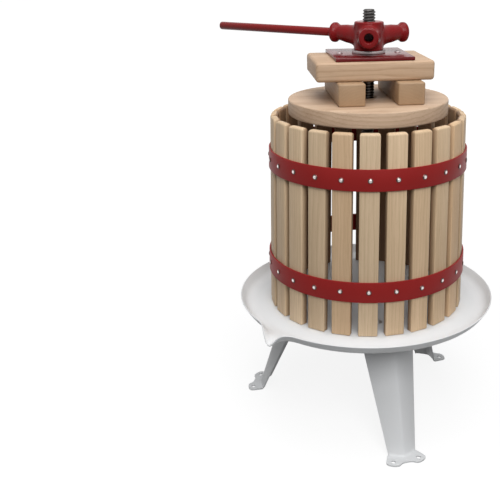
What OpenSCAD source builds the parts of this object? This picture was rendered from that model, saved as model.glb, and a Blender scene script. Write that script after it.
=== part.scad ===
// Basket fruit press: a pressed steel tray on three legs, a slatted wooden basket, a fixed screw,
// and a wooden pressing stack that a three-armed nut drives down the screw.
// Millimetres. The origin is on the ground under the screw, +Z is up and the spout points along -Y.

/* [Tray] */
// Radius of the tray over its rim
tray_r = 199; // [185:1:215]
// Height of the raised floor that the basket stands on
floor_z = 189; // [150:1:230]
// Rise of the rim above the raised floor
rim_rise = 9.5; // [7:0.5:20]
// Drop of the juice trough below the raised floor
trough_drop = 6; // [3:0.5:9]
// Width of the raised floor left round the foot of the basket
seat_margin = 2; // [1:0.5:6]
// Width of the flat bottom of the juice trough
trough_flat = 7; // [3:0.5:12]
// Steepness of the wall between the trough and the rim, in degrees
wall_slope = 58; // [50:1:75]
// Radius of the bend at the foot of the wall
wall_bend = 8; // [3:0.5:11]
// Thickness of the tray's sheet
sheet = 1.8; // [1.2:0.1:2.5]
// How far the spout reaches beyond the rim
spout_reach = 12.5; // [8:0.5:24]
// Angle from the middle of the spout to where it leaves the round rim
spout_half = 11; // [8:0.5:14]
// Drop of the rim at the tip of the spout
spout_dip = 20.5; // [12:0.5:23]
// Narrowness of the spout's dip, where 1 is as wide as the spout's bulge
spout_sharp = 4; // [1:0.5:6]

/* [Legs] */
// Thickness of the leg sheet
leg_sheet = 2.5; // [2:0.1:3.5]
// How far inside the rim of the tray the leg's free edges stand at the ground
foot_inset = 26.6; // [14:0.1:45]
// How far inside the rim of the tray the leg's free edges stand under the tray
top_inset = 110.8; // [99:0.1:119]
// Depth of the leg's arch at the ground
leg_arch_foot = 10.5; // [7:0.5:16]
// Depth of the leg's arch under the tray
leg_arch_top = 35.5; // [24:0.5:38]
// Half the leg's width at the ground
leg_half_foot = 21.6; // [17:0.2:24]
// Half the leg's width under the tray
leg_half_top = 44.6; // [38:0.2:48]
// Sharpness of the leg's ridge, where 2 is round and 1 is a fold
leg_ridge = 1.4; // [1.2:0.1:2]
// Distance of the foot holes outward from the leg's free edges
foot_hole_out = 17.6; // [14:0.1:21]
// Distance of each foot hole from the middle of its leg
foot_hole_side = 20; // [17:0.5:24]
// Radius of a foot hole
foot_hole_r = 3.5; // [2.5:0.1:4.5]
// Reach of the foot's ears beyond the middle of their holes
foot_ear = 11; // [9:0.5:13]
// Distance of the leg bolts outward from the leg's free edges
leg_bolt_out = 11.8; // [10:0.1:17]
// Distance of each leg bolt from the middle of its leg
leg_bolt_side = 18; // [14:0.5:22]
// Radius of a leg bolt
leg_bolt_r = 4; // [3:0.5:5]

/* [Basket] */
// Outer radius of the basket at its foot
basket_r = 150; // [140:1:154]
// Lean of each slat towards the screw, in degrees
basket_taper = 1.5; // [0:0.1:2]
// Number of slats
slat_count = 24; // [20:1:26]
// Width of a slat
slat_w = 27.5; // [22:0.5:29]
// Thickness of a slat
slat_t = 11; // [8:0.5:13]
// Length of a slat
slat_len = 291.5; // [260:0.5:292]
// Bevel on the long edges of a slat
slat_bevel = 1.2; // [0.5:0.1:2]
// Bevel on the corners of a slat's top end
slat_tip = 3; // [1:0.5:4]
// Angle of the first slat, in degrees
slat_turn = 12.1; // [0:0.1:15]
// Width of a hoop
hoop_w = 30; // [20:1:36]
// Thickness of a hoop
hoop_t = 2.5; // [1.5:0.1:4]
// Height of the lower hoop's middle along the slats
lower_hoop_at = 68.5; // [40:0.5:110]
// Height of the upper hoop's middle along the slats
upper_hoop_at = 229.5; // [160:0.5:235]
// Radius of a nail's head
nail_head_r = 3; // [2:0.1:4]
// Height of a nail's head
nail_head_h = 1.8; // [1:0.1:3]
// Radius of a nail's shank
nail_r = 1.4; // [1:0.1:2]
// Depth that a nail reaches into its slat
nail_bite = 8; // [4:0.5:8]

/* [Screw] */
// Diameter of the screw
screw_d = 18; // [16:0.5:20]
// Height of the screw above the raised floor
screw_rise = 437; // [430:1:460]
// Radius of the plate under the tray
base_plate_r = 32; // [26:1:50]
// Thickness of the plate under the tray
base_plate_t = 4; // [3:0.5:8]
// Width of the base nuts across their flats
base_nut_af = 30; // [27:1:36]
// Height of the base nut on the tray
base_nut_h = 15; // [10:1:18]
// Height of the locknut under the tray
locknut_h = 12; // [9:1:16]
// Radius of the washer under the base nut
base_washer_r = 22; // [20:1:30]
// Thickness of the washer under the base nut
base_washer_t = 3; // [2:0.5:4]

/* [Pressing stack] */
// Height of the disc's underside above the raised floor
stack_level = 292; // [285:0.5:296]
// Angle of the stack about the screw, in degrees
stack_turn = 51; // [0:1:90]
// Radius of the pressing disc
disc_r = 116.5; // [100:0.5:122]
// Thickness of the pressing disc
disc_t = 22.5; // [16:0.5:26]
// Radius of the hole in the disc
disc_hole_r = 13; // [11:0.5:16]
// Width of a sleeper
sleeper_w = 37.5; // [28:0.5:42]
// Height of a sleeper
sleeper_h = 31; // [20:0.5:31]
// Length of a sleeper
sleeper_len = 148; // [120:1:170]
// Gap between the sleepers
sleeper_gap = 45.5; // [34:0.5:52]
// How far the pair of sleepers lies to one side of the screw
sleepers_aside = 6; // [0:0.5:8]
// Width of the top block
block_w = 166; // [150:1:176]
// Depth of the top block
block_d = 116; // [100:1:130]
// Thickness of the top block
block_t = 27; // [20:0.5:32]
// Rounding on the edges of the block
block_ease = 4; // [2:0.5:6]
// Rounding on the edges of the sleepers
sleeper_ease = 2.5; // [1.5:0.5:4]
// Length of a side of the steel pressure plate
plate_w = 110; // [100:1:116]
// Thickness of the pressure plate
plate_t = 5; // [3:0.5:8]
// Distance of each plate screw from the middle of the plate
plate_screw_at = 42; // [36:0.5:48]
// Radius of a plate screw's shank
plate_screw_r = 2; // [1.5:0.25:3]
// Radius of the thrust washer
washer_r = 24; // [22:0.5:28]
// Thickness of the thrust washer
washer_t = 4; // [3:0.5:4]

/* [Nut and bar] */
// Radius of the nut's hub
hub_r = 21; // [20:0.5:23]
// Height of the nut's hub
hub_h = 39; // [34:0.5:42]
// Height of the arms above the hub's underside
arm_z = 21.5; // [18:0.5:23]
// Distance from the screw to the end of an arm
arm_reach = 60; // [54:0.5:70]
// Radius of an arm where it leaves the hub
arm_root_r = 13; // [11:0.5:14]
// Radius of an arm behind its collar
arm_tip_r = 10.8; // [9:0.2:11]
// Radius of the collar at the end of an arm
collar_r = 14; // [12:0.5:15]
// Width of the collar
collar_w = 6; // [5:0.5:9]
// Length of the flare from an arm up to its collar
collar_flare = 7; // [3:0.5:10]
// Angle of the first arm, in degrees
nut_turn = 40.4; // [0:0.1:120]
// Radial play of the nut on the screw
thread_play = 0.08; // [0.03:0.01:0.1]
// Diameter of the handle bar
bar_d = 12; // [10:0.5:13]
// Length of the handle bar
bar_len = 250; // [200:1:320]
// Radial play of the bar in its socket
socket_play = 0.3; // [0.2:0.05:0.5]
// Metal left between a socket and the bore of the nut
socket_floor = 11; // [8:0.5:14]

/* [Hidden] */
$fn = 64;
leg_angles = [60, 180, -60];
leg_names = ["leg_front_right", "leg_rear", "leg_front_left"];
slat_names = [for (i = [1:slat_count]) str("slat_", i < 10 ? "0" : "", i)];

wood = [0.80, 0.67, 0.51];
end_wood = [0.76, 0.62, 0.46];
red_paint = [0.58, 0.10, 0.11];
white_paint = [0.93, 0.93, 0.92];
zinc = [0.74, 0.74, 0.72];
dark_steel = [0.36, 0.36, 0.37];

// Clearances
hole_play = 0.3;
seat_play = 0.3;
run_play = 0.1;
snug = 0.1;

// Tray outline
seat_r = basket_r + seat_margin;
trough_z = floor_z - trough_drop;
rim_z = floor_z + rim_rise;
wall_h = rim_z - trough_z;
bend_w = wall_bend * sin(wall_slope);
bend_h = wall_bend * (1 - cos(wall_slope));
wall_w = bend_w + (wall_h - bend_h) / tan(wall_slope);
wall_foot_r = tray_r - sheet - wall_w;
trough_slope = wall_foot_r - trough_flat - seat_r;
under_z = floor_z - sheet;
screw_hole_r = screw_d / 2 + hole_play;
spout_step = 1;
round_step = 6;
round_count = ceil((360 - 2 * (spout_half + 1)) / round_step);
tray_angles = concat(
    [for (a = [-spout_half - 1:spout_step:spout_half + 1]) a],
    [for (i = [1:round_count - 1]) spout_half + 1 + i * (360 - 2 * (spout_half + 1)) / round_count]
);
slope_steps = 5;
bend_steps = 4;

// Legs
leg_edge_foot = tray_r - foot_inset;
leg_edge_top = tray_r - top_inset;
foot_hole_at = leg_edge_foot + foot_hole_out;
leg_bolt_at = leg_edge_top + leg_bolt_out;
leg_top_z = under_z - leg_sheet;
leg_low_z = leg_sheet / 2;
leg_high_z = leg_top_z + leg_sheet / 2;
leg_steps = 8;
leg_nut_h = 1.7 * leg_bolt_r;
bolt_tail = 0.8 * leg_bolt_r;

// Basket
lean = [-basket_taper, 0, 0];
slat_foot_z = floor_z + seat_play + slat_t * sin(basket_taper);
half_face = slat_w / 2 - slat_bevel;
nail_len = hoop_t + nail_bite;

// Levels of the pressing stack
disc_z = floor_z + stack_level;
sleeper_z = disc_z + disc_t;
block_z = sleeper_z + sleeper_h;
plate_z = block_z + block_t;
washer_z = plate_z + plate_t;
nut_z = washer_z + washer_t + run_play;
screw_top_z = floor_z + screw_rise;
locknut_z = under_z - base_plate_t - locknut_h;
screw_tail = 3;
screw_end_z = locknut_z - screw_tail;
screw_bevel = 2;
screw_r = screw_d / 2;
plate_hole_r = screw_r + 2;
plate_screw_bite = block_t / 2;
bar_r = bar_d / 2;
socket_r = bar_r + socket_play;
socket_end = screw_r + socket_floor;
plate_screw_head = 4.5;

// Outward bulge of the spout at an angle from its middle, from 0 to 1
function off_spout(a) = a > 180 ? a - 360 : a;
function bulge(a) = abs(off_spout(a)) < spout_half ? pow(cos(90 * off_spout(a) / spout_half), 2) : 0;
function lip_r(a) = tray_r + spout_reach * bulge(a);
function lip_z(a) = rim_z - spout_dip * pow(bulge(a), spout_sharp);

// Slope from the raised floor to the trough, t from 0 to 1, lowered by the sheet on the underside
function slope_point(t, drop) = [
    seat_r + trough_slope * t,
    floor_z - drop - trough_drop * (1 - cos(180 * t)) / 2
];
// The wall's bend and straight flank, as shares of its width and height
wall_shape = concat(
    [for (i = [0:bend_steps]) let(t = wall_slope * i / bend_steps)
        [wall_bend * sin(t) / wall_w, wall_bend * (1 - cos(t)) / wall_h]],
    [[1, 1]]
);
// The sheet's thickness lies level at the round rim and upright at the tip of the spout
function lip_point(a, drop) = [lip_r(a) - (sheet - drop) * (1 - bulge(a)), lip_z(a) - drop * bulge(a)];
function wall_point(a, share, drop) = let(
    foot = [wall_foot_r, trough_z - drop],
    lip = lip_point(a, drop)
) [foot[0] + (lip[0] - foot[0]) * share[0], foot[1] + (lip[1] - foot[1]) * share[1]];
// The rounded edge of the lip
function edge_point(a) = (lip_point(a, 0) + lip_point(a, sheet)) / 2 + sheet / 3 * [bulge(a), 1 - bulge(a)];
// The sheet's outline at one angle, over the top and back underneath
function tray_section(a) = concat(
    [for (i = [0:slope_steps]) slope_point(i / slope_steps, 0)],
    [for (share = wall_shape) wall_point(a, share, 0)],
    [edge_point(a)],
    [for (i = [len(wall_shape) - 1:-1:0]) wall_point(a, wall_shape[i], sheet)],
    [for (i = [slope_steps:-1:0]) slope_point(i / slope_steps, sheet)]
);
// A point at a radius and height, at an angle from -Y towards +X
function around(p, a) = [p[0] * sin(a), -p[0] * cos(a), p[1]];

// A leg's measure at a height, from its values at the ground and under the tray
function along_leg(low, high, z) = low + (high - low) * (z - leg_low_z) / (leg_high_z - leg_low_z);
// Arched cross-section of a leg at a height, set in by a thickness t for the hollow behind the sheet
function leg_ring(z, t) = let(
    half = along_leg(leg_half_foot, leg_half_top, z) - 1.2 * t,
    edge = along_leg(leg_edge_foot, leg_edge_top, z) - t / 2,
    depth = along_leg(leg_arch_foot, leg_arch_top, z) - t / 2
) [for (i = [-leg_steps:leg_steps]) let(u = i / leg_steps)
    [half * u, -edge - depth * (1 - pow(abs(u), leg_ridge)), z]];

module around_axis(a) {
    rotate([0, 0, a]) children();
}

module each_leg_bolt() {
    for (a = leg_angles)
        for (s = [-1, 1])
            around_axis(a) translate([s * leg_bolt_side, -leg_bolt_at, 0]) children();
}

// A square with round corners
module round_square(w, d, r) {
    square([w - 2 * r, d], center = true);
    square([w, d - 2 * r], center = true);
    for (x = [-1, 1])
        for (y = [-1, 1])
            translate([x * (w / 2 - r), y * (d / 2 - r)]) circle(r);
}

// A timber with all its edges eased, standing on z = 0
module timber(w, d, h, r) {
    translate([0, 0, h / 2]) intersection() {
        translate([0, 0, -h / 2]) linear_extrude(h) round_square(w, d, r);
        rotate([90, 0, 0]) translate([0, 0, -d / 2]) linear_extrude(d) round_square(w, h, r);
        rotate([0, 90, 0]) translate([0, 0, -w / 2]) linear_extrude(w) round_square(h, d, r);
    }
}

module tray() {
    rings = [for (a = tray_angles) [for (p = tray_section(a)) around(p, a)]];
    n = len(rings);
    m = len(rings[0]);
    top_cap = [for (i = [n - 1:-1:0]) i * m];
    bottom_cap = [for (i = [0:n - 1]) i * m + m - 1];
    sides = [for (i = [0:n - 1], j = [0:m - 2]) let(here = i * m + j, next = (i + 1) % n * m + j)
        [here, next, next + 1, here + 1]];
    color(white_paint) difference() {
        polyhedron([for (r = rings, p = r) p], concat([top_cap, bottom_cap], sides), convexity = 6);
        translate([0, 0, under_z - 1]) cylinder(r = screw_hole_r, h = sheet + 2);
        each_leg_bolt() translate([0, 0, under_z - 1]) cylinder(r = leg_bolt_r + snug, h = sheet + 2);
    }
}

// A solid between two level cross-sections
module loft(low, high) {
    n = len(low);
    polyhedron(concat(low, high), concat(
        [[for (i = [0:n - 1]) i]],
        [[for (i = [n - 1:-1:0]) n + i]],
        [for (i = [0:n - 1]) [i, n + i, (i + 1) % n]],
        [for (i = [0:n - 1]) [n + i, n + (i + 1) % n, (i + 1) % n]]
    ), convexity = 4);
}

// Flange turned outward on the ground, with two eared ends and a shallow notch between them
module foot() {
    ease = foot_ear * 0.4;
    root = leg_half_foot + leg_sheet / 2;
    side = foot_hole_side + foot_ear;
    tip = foot_hole_at + foot_ear - 1;
    right = [
        [root, -leg_edge_foot], [side, -foot_hole_at], [side - ease, ease - tip],
        [foot_hole_side - ease, -tip], [foot_hole_side - foot_ear, ease - tip]
    ];
    left = [for (i = [len(right) - 1:-1:0]) [-right[i][0], right[i][1]]];
    linear_extrude(leg_sheet) polygon(concat(right, left));
}

// Flange under the tray that the leg bolts pass through
module leg_head() {
    back = leg_edge_top - 4;
    corner = leg_edge_top + 8;
    front = leg_edge_top + leg_arch_top + 4;
    side = leg_half_top + 2;
    difference() {
        translate([0, 0, leg_top_z]) linear_extrude(leg_sheet) polygon([
            [-side, -back], [-side, -corner], [-side / 2, -front],
            [side / 2, -front], [side, -corner], [side, -back]
        ]);
        for (s = [-1, 1])
            translate([s * leg_bolt_side, -leg_bolt_at, leg_top_z - 1])
                cylinder(r = leg_bolt_r + snug, h = leg_sheet + 2);
    }
}

module leg(a) {
    color(white_paint) around_axis(a) {
        difference() {
            union() {
                loft(leg_ring(leg_low_z, 0), leg_ring(leg_high_z, 0));
                foot();
            }
            loft(leg_ring(-1, leg_sheet), leg_ring(leg_high_z + 1, leg_sheet));
            for (s = [-1, 1])
                translate([s * foot_hole_side, -foot_hole_at, -1])
                    cylinder(r = foot_hole_r, h = leg_sheet + 2);
        }
        leg_head();
    }
}

module leg_bolts() {
    head_r = 2.3 * leg_bolt_r;
    head_h = leg_bolt_r;
    dome_r = (head_r * head_r + head_h * head_h) / (2 * head_h);
    color(zinc) each_leg_bolt() {
        translate([0, 0, leg_top_z - leg_nut_h - bolt_tail])
            cylinder(r = leg_bolt_r, h = floor_z - leg_top_z + leg_nut_h + bolt_tail + 0.5);
        intersection() {
            translate([0, 0, floor_z + head_h - dome_r]) sphere(dome_r);
            translate([0, 0, floor_z]) cylinder(r = head_r + 1, h = head_h + 1);
        }
    }
}

module leg_nuts() {
    color(zinc) each_leg_bolt() difference() {
        translate([0, 0, leg_top_z - leg_nut_h]) cylinder(r = 1.85 * leg_bolt_r, h = leg_nut_h, $fn = 6);
        translate([0, 0, leg_top_z - leg_nut_h - 1]) cylinder(r = leg_bolt_r + snug, h = leg_nut_h + 2);
    }
}

module screw_spindle() {
    color(dark_steel) {
        translate([0, 0, screw_end_z]) cylinder(r = screw_r, h = screw_top_z - screw_bevel - screw_end_z);
        translate([0, 0, screw_top_z - screw_bevel])
            cylinder(r1 = screw_r, r2 = screw_r - screw_bevel, h = screw_bevel);
    }
}

module round_washer(r, t) {
    difference() {
        cylinder(r = r, h = t);
        translate([0, 0, -1]) cylinder(r = screw_r + snug, h = t + 2);
    }
}

module hex_nut(af, h) {
    difference() {
        cylinder(r = af / sqrt(3), h = h, $fn = 6);
        translate([0, 0, -1]) cylinder(r = screw_r + snug, h = h + 2);
    }
}

module base_washer() {
    color(zinc) translate([0, 0, floor_z]) round_washer(base_washer_r, base_washer_t);
}

module base_nut() {
    color(zinc) translate([0, 0, floor_z + base_washer_t]) hex_nut(base_nut_af, base_nut_h);
}

module base_plate() {
    color(zinc) translate([0, 0, under_z - base_plate_t]) round_washer(base_plate_r, base_plate_t);
}

module base_locknut() {
    color(zinc) translate([0, 0, locknut_z]) hex_nut(base_nut_af, locknut_h);
}

// Puts its child on a slat: x across it, -y out of its face, z along it from its foot
module on_slat(i) {
    around_axis(slat_turn + i * 360 / slat_count)
        translate([0, -basket_r, slat_foot_z]) rotate(lean) children();
}

// Radius of the circle through the outer corners of the slats at a height along them
function slat_corner_r(along) = norm([half_face, basket_r - along * sin(basket_taper)]);

module slat(i) {
    w = slat_w / 2;
    b = slat_bevel;
    tip = slat_tip;
    color(i % 3 == 1 ? end_wood : wood) on_slat(i) difference() {
        intersection() {
            linear_extrude(slat_len) polygon([
                [-w + b, 0], [w - b, 0], [w, b], [w, slat_t - b],
                [w - b, slat_t], [-w + b, slat_t], [-w, slat_t - b], [-w, b]
            ]);
            rotate([90, 0, 0]) translate([0, 0, -slat_t - 1]) linear_extrude(slat_t + 2) polygon([
                [-w, 0], [w, 0], [w, slat_len - tip],
                [w - tip, slat_len], [-w + tip, slat_len], [-w, slat_len - tip]
            ]);
            rotate([90, 0, 90]) translate([0, 0, -w - 1]) linear_extrude(slat_w + 2) polygon([
                [0, 0], [slat_t, 0], [slat_t, slat_len - tip / 2], [slat_t - tip / 2, slat_len],
                [tip / 2, slat_len], [0, slat_len - tip / 2]
            ]);
        }
        for (z = [lower_hoop_at, upper_hoop_at])
            translate([0, nail_bite + snug, z]) rotate([90, 0, 0])
                cylinder(r = nail_r + snug, h = nail_bite + 1);
    }
}

// A flat steel ring round the slats, leaning as they do, with a hole for each nail
module hoop(along) {
    low_r = slat_corner_r(along - hoop_w / 2) + snug;
    high_r = slat_corner_r(along + hoop_w / 2) + snug;
    mid_z = slat_foot_z + along * cos(basket_taper);
    half = hoop_w / 2 * cos(basket_taper);
    color(red_paint) difference() {
        translate([0, 0, mid_z]) rotate_extrude($fn = 180) polygon([
            [low_r, -half], [low_r + hoop_t, -half], [high_r + hoop_t, half], [high_r, half]
        ]);
        for (i = [0:slat_count - 1])
            on_slat(i) translate([0, 1, along]) rotate([90, 0, 0])
                cylinder(r = nail_r + snug, h = hoop_t + 4);
    }
}

module nails(along) {
    face = slat_corner_r(along) - norm([0, basket_r - along * sin(basket_taper)]) + snug + hoop_t;
    dome_r = (nail_head_r * nail_head_r + nail_head_h * nail_head_h) / (2 * nail_head_h);
    color(zinc) for (i = [0:slat_count - 1]) on_slat(i) translate([0, -face, along]) rotate([90, 0, 0]) {
        translate([0, 0, -face - nail_bite]) cylinder(r = nail_r, h = face + nail_bite + 0.5, $fn = 24);
        intersection() {
            translate([0, 0, nail_head_h - dome_r]) sphere(dome_r, $fn = 32);
            translate([0, 0, 0.05]) cylinder(r = nail_head_r + 1, h = nail_head_h + 1, $fn = 32);
        }
    }
}

module press_disc() {
    ease = 2;
    color(wood) translate([0, 0, disc_z]) rotate_extrude($fn = 180) {
        polygon([
            [disc_hole_r, 0], [disc_r - ease, 0], [disc_r, ease], [disc_r, disc_t - ease],
            [disc_r - ease, disc_t], [disc_hole_r, disc_t]
        ]);
    }
}

module sleeper(side) {
    x = sleepers_aside + side * (sleeper_gap + sleeper_w) / 2;
    color(end_wood) around_axis(stack_turn) translate([x, 0, sleeper_z])
        timber(sleeper_w, sleeper_len, sleeper_h, sleeper_ease);
}

module top_block() {
    color(wood) around_axis(stack_turn) translate([0, 0, block_z]) difference() {
        timber(block_w, block_d, block_t, block_ease);
        translate([0, 0, -1]) cylinder(r = plate_hole_r, h = block_t + 2);
        for (s = [-1, 1])
            translate([s * plate_screw_at, 0, block_t - plate_screw_bite - 1])
                cylinder(r = plate_screw_r + snug, h = plate_screw_bite + 2);
    }
}

module pressure_plate() {
    color(red_paint) around_axis(stack_turn) translate([0, 0, plate_z]) difference() {
        linear_extrude(plate_t) round_square(plate_w, plate_w, 2);
        translate([0, 0, -1]) cylinder(r = plate_hole_r, h = plate_t + 2);
        for (s = [-1, 1])
            translate([s * plate_screw_at, 0, -1]) cylinder(r = plate_screw_r + snug, h = plate_t + 2);
    }
}

module plate_screws() {
    color(zinc) around_axis(stack_turn) for (s = [-1, 1]) translate([s * plate_screw_at, 0, washer_z]) {
        translate([0, 0, -plate_t - plate_screw_bite])
            cylinder(r = plate_screw_r, h = plate_t + plate_screw_bite + 0.5);
        cylinder(r1 = plate_screw_head, r2 = plate_screw_head - 1.2, h = 2);
    }
}

module thrust_washer() {
    color(zinc) translate([0, 0, washer_z]) difference() {
        cylinder(r = washer_r, h = washer_t);
        translate([0, 0, -1]) cylinder(r = screw_r + hole_play, h = washer_t + 2);
    }
}

// One arm of the nut, pointing along -Y: a slim cone that flares into a rounded collar
module arm() {
    flare_steps = 4;
    round = 2;
    rotate([90, 0, 0]) {
        cylinder(r1 = arm_root_r, r2 = arm_tip_r, h = arm_reach - collar_w);
        translate([0, 0, arm_reach - collar_w]) rotate_extrude() polygon(concat(
            [[0, -collar_flare], [arm_tip_r - 0.2, -collar_flare]],
            [for (i = [0:flare_steps]) let(t = i / flare_steps)
                [arm_tip_r + (collar_r - arm_tip_r) * t * t, -collar_flare * (1 - t)]],
            [[collar_r, collar_w - round], [collar_r - round, collar_w], [0, collar_w]]
        ));
    }
}

// The blind socket that takes the bar, with a bevelled mouth
module socket() {
    rotate([90, 0, 0]) {
        translate([0, 0, socket_end]) cylinder(r = socket_r, h = arm_reach - socket_end + 1);
        translate([0, 0, arm_reach - 1]) cylinder(r1 = socket_r, r2 = socket_r + 1.5, h = 1.5);
    }
}

module capstan_nut() {
    ease = 2;
    color(red_paint) around_axis(nut_turn) translate([0, 0, nut_z]) difference() {
        union() {
            rotate_extrude() polygon([
                [0, 0], [hub_r, 0], [hub_r, hub_h - ease], [hub_r - ease, hub_h], [0, hub_h]
            ]);
            for (a = [0, 120, 240]) translate([0, 0, arm_z]) around_axis(a) arm();
        }
        translate([0, 0, -1]) cylinder(r = screw_r + thread_play, h = hub_h + 2);
        for (a = [0, 120, 240]) translate([0, 0, arm_z]) around_axis(a) socket();
    }
}

module handle_bar() {
    bevel = 1;
    color(red_paint) around_axis(nut_turn - 120) translate([0, 0, nut_z + arm_z]) rotate([90, 0, 0])
        translate([0, 0, socket_end + 1]) rotate_extrude() polygon([
            [0, 0], [bar_r - bevel, 0], [bar_r, bevel],
            [bar_r, bar_len - bevel], [bar_r - bevel, bar_len], [0, bar_len]
        ]);
}

tray();
for (i = [0:2])
    leg(leg_angles[i]);
leg_bolts();
leg_nuts();
screw_spindle();
base_washer();
base_nut();
base_plate();
base_locknut();
for (i = [0:slat_count - 1])
    slat(i);
hoop(lower_hoop_at);  // lower_hoop
hoop(upper_hoop_at);  // upper_hoop
nails(lower_hoop_at);  // lower_hoop_nails
nails(upper_hoop_at);  // upper_hoop_nails
press_disc();
sleeper(-1);  // sleeper_left
sleeper(1);  // sleeper_right
top_block();
pressure_plate();
plate_screws();
thrust_washer();
capstan_nut();
handle_bar();
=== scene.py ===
import math
import random

import bpy
from mathutils import Matrix, Vector


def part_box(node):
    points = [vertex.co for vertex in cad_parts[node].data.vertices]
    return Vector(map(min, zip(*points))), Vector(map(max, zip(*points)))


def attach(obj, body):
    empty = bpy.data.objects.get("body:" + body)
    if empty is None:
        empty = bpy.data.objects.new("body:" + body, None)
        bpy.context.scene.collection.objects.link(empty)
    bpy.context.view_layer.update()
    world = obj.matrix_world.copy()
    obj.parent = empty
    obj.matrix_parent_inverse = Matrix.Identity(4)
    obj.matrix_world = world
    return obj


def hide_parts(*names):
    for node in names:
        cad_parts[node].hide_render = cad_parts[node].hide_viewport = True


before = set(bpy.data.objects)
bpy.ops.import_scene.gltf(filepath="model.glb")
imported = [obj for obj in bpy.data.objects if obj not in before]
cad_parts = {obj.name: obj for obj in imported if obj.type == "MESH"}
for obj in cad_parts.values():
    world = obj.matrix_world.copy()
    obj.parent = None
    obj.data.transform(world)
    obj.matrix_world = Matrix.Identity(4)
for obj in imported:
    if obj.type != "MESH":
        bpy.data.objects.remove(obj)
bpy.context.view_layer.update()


# Tray
# One sheet of steel pressed into a dish: a raised floor for the basket, a trough for the juice round
# it, a flared wall and a spout drawn out of the wall. It is powder coated white.
MM = 0.001
tray_r = 199 * MM
sheet = 1.8 * MM
floor_z = 189 * MM
trough_z = 183 * MM
rim_z = 198.5 * MM
seat_r = 152 * MM
wall_slope = math.radians(58)
wall_bend = 14 * MM
wall_w = wall_bend * math.sin(wall_slope) + (
    rim_z - trough_z - wall_bend * (1 - math.cos(wall_slope))) / math.tan(wall_slope)
lip_r = tray_r - sheet
wall_foot_r = lip_r - wall_w
trough_r = 176 * MM
spout_reach = 12.5 * MM
spout_dip = 20.5 * MM
spout_half = math.radians(11)
spout_sharp = 4
screw_r = 9 * MM
tray_hole_r = screw_r + 0.3 * MM
rim_ease = 0.6 * MM


def clear():
    bpy.ops.object.select_all(action="DESELECT")


def pick(obj):
    clear()
    obj.select_set(True)
    bpy.context.view_layer.objects.active = obj
    return obj


def made():
    """The object that the last operator added, picked alone."""
    return pick(bpy.context.view_layer.objects.active)


def apply_place(obj, place=None):
    """Puts an object's place into its mesh, after an extra matrix if one is given."""
    pick(obj)
    if place is not None:
        obj.matrix_basis = place @ obj.matrix_basis
    bpy.ops.object.transform_apply(location=True, rotation=True, scale=True)
    return obj


def modify(obj, kind, **values):
    """Adds a modifier and applies it."""
    m = obj.modifiers.new(kind.title(), kind)
    for key, value in values.items():
        setattr(m, key, value)
    pick(obj)
    bpy.ops.object.modifier_apply(modifier=m.name)
    return obj


def soften(obj, width, segments=2, angle=30):
    return modify(obj, "BEVEL", width=width, segments=segments, limit_method="ANGLE",
                  angle_limit=math.radians(angle), harden_normals=False)


def sweep_rings(points, vertices):
    """A surface through rings at (radius, height) points, left in edit mode with all of it selected."""
    clear()
    bpy.ops.mesh.primitive_circle_add(vertices=vertices, radius=points[0][0], location=(0, 0, points[0][1]))
    obj = made()
    bpy.ops.object.transform_apply(location=True)
    bpy.ops.object.mode_set(mode="EDIT")
    for (r0, z0), (r1, z1) in zip(points, points[1:]):
        bpy.ops.mesh.extrude_region_move()
        bpy.ops.transform.resize(value=(r1 / r0, r1 / r0, 1), center_override=(0, 0, z0))
        bpy.ops.transform.translate(value=(0, 0, z1 - z0))
    bpy.ops.mesh.select_all(action="SELECT")
    return obj


def settle(obj, name, body, material, nodes, angle=35):
    """Names a finished piece, dresses it and ties it to its body."""
    pick(obj)
    obj.name = obj.data.name = name
    obj.data.materials.clear()
    obj.data.materials.append(material)
    bpy.ops.object.shade_smooth_by_angle(angle=math.radians(angle))
    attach(obj, body)
    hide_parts(*nodes)


def node_in(tree, kind, **values):
    """Adds a shader node and sets its sockets and settings by name; a linked value is a socket."""
    n = tree.nodes.new("ShaderNode" + kind)
    for key, value in values.items():
        if key.startswith("_"):
            setattr(n, key[1:], value)
            continue
        by_number = key.startswith("in") and key[2:].isdigit()
        socket = n.inputs[int(key[2:]) if by_number else key.replace("_", " ")]
        if isinstance(value, bpy.types.NodeSocket):
            tree.links.new(value, socket)
        else:
            socket.default_value = value
    return n


def group_tree(name, inputs, outputs):
    """A shader node group with its sockets made; returns the tree, its input and its output node."""
    tree = bpy.data.node_groups.new(name, "ShaderNodeTree")
    for label, kind, value in inputs:
        s = tree.interface.new_socket(name=label, in_out="INPUT", socket_type="NodeSocket" + kind)
        if value is not None:
            s.default_value = value
    for label, kind in outputs:
        tree.interface.new_socket(name=label, in_out="OUTPUT", socket_type="NodeSocket" + kind)
    return tree, tree.nodes.new("NodeGroupInput"), tree.nodes.new("NodeGroupOutput")


def math_node(tree, operation, a, b=0.0, c=0.0):
    return node_in(tree, "Math", _operation=operation, in0=a, in1=b, in2=c).outputs[0]


def noise_at(tree, vector, stretch, detail=3.0, roughness=0.5):
    """Noise on a stretched copy of a vector, from about 0.3 to 0.7."""
    m = node_in(tree, "Mapping", Vector=vector, Scale=stretch)
    n = node_in(tree, "TexNoise", Vector=m.outputs[0], Scale=1.0, Detail=detail, Roughness=roughness)
    return n.outputs[0]


def remap(tree, value, low, high, to_low=0.0, to_high=1.0):
    return node_in(tree, "MapRange", in0=value, in1=low, in2=high, in3=to_low, in4=to_high).outputs[0]


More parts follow.
